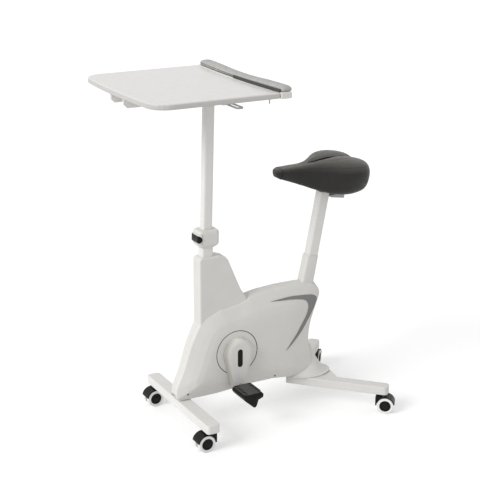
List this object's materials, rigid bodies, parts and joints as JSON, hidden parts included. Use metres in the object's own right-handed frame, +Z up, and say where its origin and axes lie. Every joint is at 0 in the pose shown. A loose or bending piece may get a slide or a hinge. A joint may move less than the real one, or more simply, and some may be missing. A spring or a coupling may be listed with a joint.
{
  "type": "desk exercise bike",
  "caption": "Upright exercise bike on casters with a slim covered pedal drive, a padded saddle on a leaning post and a desk with a padded armrest on a rising mast.",
  "frame": {"origin": "on the floor under the middle of the whole bike's box", "axes": "+Z up from the floor, +X from the desk back towards the saddle, +Y towards the far side, the side of the drive belt"},
  "size_m": [0.797, 0.488, 1.0263],
  "materials": {
    "white_paint": "satin",
    "white_plastic": "satin",
    "grey_accent": "satin",
    "black_plastic": "satin",
    "dark_plastic": "grained",
    "light_plastic": "satin",
    "tread": "matte",
    "desk_laminate": "smooth white laminate",
    "pad_leather": "light grey, fine grain",
    "saddle_leather": "dark grey, fine grain",
    "steel": "plain",
    "cast_iron": "dark",
    "belt_rubber": "matte"
  },
  "bodies": {
    "frame": {"front_crossbar": "white_paint", "base_beam": "white_paint", "rear_leg_left": "white_paint", "rear_leg_right": "white_paint", "desk_mast": "white_paint", "seat_tube": "white_paint", "bottom_bracket": "white_paint", "flywheel_fork": "white_paint", "flywheel_axle": "steel", "drive_belt": "belt_rubber", "brake_arm": "steel", "crank_bearing_left": "steel", "crank_bearing_right": "steel", "shell_left": "white_plastic", "shell_right": "white_plastic", "accent_left": "grey_accent", "accent_right": "grey_accent", "shell_screw_front": "steel", "shell_screw_rear": "steel", "post_collar": "white_plastic", "gas_spring_rod": "steel"},
    "crank": {"crank_axle": "steel", "drive_pulley": "black_plastic", "crank_disc_left": "white_plastic", "crank_disc_right": "white_plastic", "crank_arm_left": "white_plastic", "crank_arm_right": "white_plastic", "crank_cap_left": "black_plastic", "crank_cap_right": "black_plastic", "pedal_spindle_left": "steel", "pedal_spindle_right": "steel"},
    "flywheel": {"flywheel": "cast_iron"},
    "left_pedal": {"pedal_left": "dark_plastic"},
    "right_pedal": {"pedal_right": "dark_plastic"},
    "seat": {"seat_post": "white_paint", "gas_spring_cylinder": "black_plastic", "seat_head": "dark_plastic", "saddle_base": "dark_plastic", "saddle_cushion": "saddle_leather"},
    "seat_lever": {"seat_lever": "light_plastic"},
    "collar_lever": {"collar_lever": "black_plastic"},
    "desk": {"desk_post": "white_paint", "desk_bracket": "white_paint", "desk_arm_left": "white_paint", "desk_arm_right": "white_paint", "desktop": "desk_laminate", "armrest_rail": "white_plastic", "armrest_pad": "pad_leather", "slot_liner": "dark_plastic"},
    "desk_lift_lever": {"desk_lift_lever": "light_plastic"},
    "caster_front_left": {"caster_hood_front_left": "black_plastic"},
    "wheels_front_left": {"caster_wheels_front_left": "tread"},
    "caster_front_right": {"caster_hood_front_right": "black_plastic"},
    "wheels_front_right": {"caster_wheels_front_right": "tread"},
    "caster_rear_left": {"caster_hood_rear_left": "black_plastic"},
    "wheels_rear_left": {"caster_wheels_rear_left": "tread"},
    "caster_rear_right": {"caster_hood_rear_right": "black_plastic"},
    "wheels_rear_right": {"caster_wheels_rear_right": "tread"}
  },
  "joints": [
    {"name": "flywheel_spin", "type": "hinge", "parent": "frame", "child": "flywheel", "pos_m": [0.07425, 0, 0.2493], "axis": [0, 1, 0], "continuous": true},
    {"name": "crank_spin", "type": "hinge", "parent": "frame", "child": "crank", "pos_m": [-0.05125, 0, 0.2128], "axis": [0, 1, 0], "continuous": true},
    {"name": "pedal_left_spin", "type": "hinge", "parent": "crank", "child": "left_pedal", "pos_m": [-0.05125, -0.1143, 0.1138], "axis": [0, 1, 0], "continuous": true},
    {"name": "pedal_right_spin", "type": "hinge", "parent": "crank", "child": "right_pedal", "pos_m": [-0.05125, 0.1143, 0.3118], "axis": [0, 1, 0], "continuous": true},
    {"name": "seat_slide", "type": "slide", "parent": "frame", "child": "seat", "axis": [0.1917, 0, 0.9815], "range_m": [-0.02, 0.16]},
    {"name": "seat_lever_hinge", "type": "hinge", "parent": "seat", "child": "seat_lever", "pos_m": [0.28062, 0, 0.65025], "axis": [0, -1, 0], "range_deg": [0, 12], "stiffness_Nm_per_rad": 0.3},
    {"name": "collar_lever_hinge", "type": "hinge", "parent": "frame", "child": "collar_lever", "pos_m": [-0.16088, 0, 0.5583], "axis": [0, -1, 0], "range_deg": [0, 75]},
    {"name": "desk_slide", "type": "slide", "parent": "frame", "child": "desk", "axis": [0.0295, 0, 0.9996], "range_m": [-0.03, 0.17]},
    {"name": "lift_lever_hinge", "type": "hinge", "parent": "desk", "child": "desk_lift_lever", "pos_m": [-0.07847, -0.0363, 0.95044], "axis": [-1, 0, 0], "range_deg": [0, 8], "stiffness_Nm_per_rad": 0.3},
    {"name": "front_left_swivel", "type": "hinge", "parent": "frame", "child": "caster_front_left", "pos_m": [-0.20875, -0.172, 0.06], "axis": [0, 0, 1], "continuous": true},
    {"name": "front_left_roll", "type": "hinge", "parent": "caster_front_left", "child": "wheels_front_left", "pos_m": [-0.22575, -0.172, 0.025], "axis": [0, -1, 0], "continuous": true},
    {"name": "front_right_swivel", "type": "hinge", "parent": "frame", "child": "caster_front_right", "pos_m": [-0.20875, 0.172, 0.06], "axis": [0, 0, 1], "continuous": true},
    {"name": "front_right_roll", "type": "hinge", "parent": "caster_front_right", "child": "wheels_front_right", "pos_m": [-0.22575, 0.172, 0.025], "axis": [0, -1, 0], "continuous": true},
    {"name": "rear_left_swivel", "type": "hinge", "parent": "frame", "child": "caster_rear_left", "pos_m": [0.35079, -0.19285, 0.06], "axis": [0, 0, 1], "continuous": true},
    {"name": "rear_left_roll", "type": "hinge", "parent": "caster_rear_left", "child": "wheels_rear_left", "pos_m": [0.36419, -0.20331, 0.025], "axis": [0.6157, 0.788, 0], "continuous": true},
    {"name": "rear_right_swivel", "type": "hinge", "parent": "frame", "child": "caster_rear_right", "pos_m": [0.35079, 0.19285, 0.06], "axis": [0, 0, 1], "continuous": true},
    {"name": "rear_right_roll", "type": "hinge", "parent": "caster_rear_right", "child": "wheels_rear_right", "pos_m": [0.3626, 0.20508, 0.025], "axis": [-0.7193, 0.6947, 0], "continuous": true}
  ],
  "couplings": [
    {"joint": "crank_spin", "follows": "flywheel_spin", "ratio": 0.25}
  ]
}
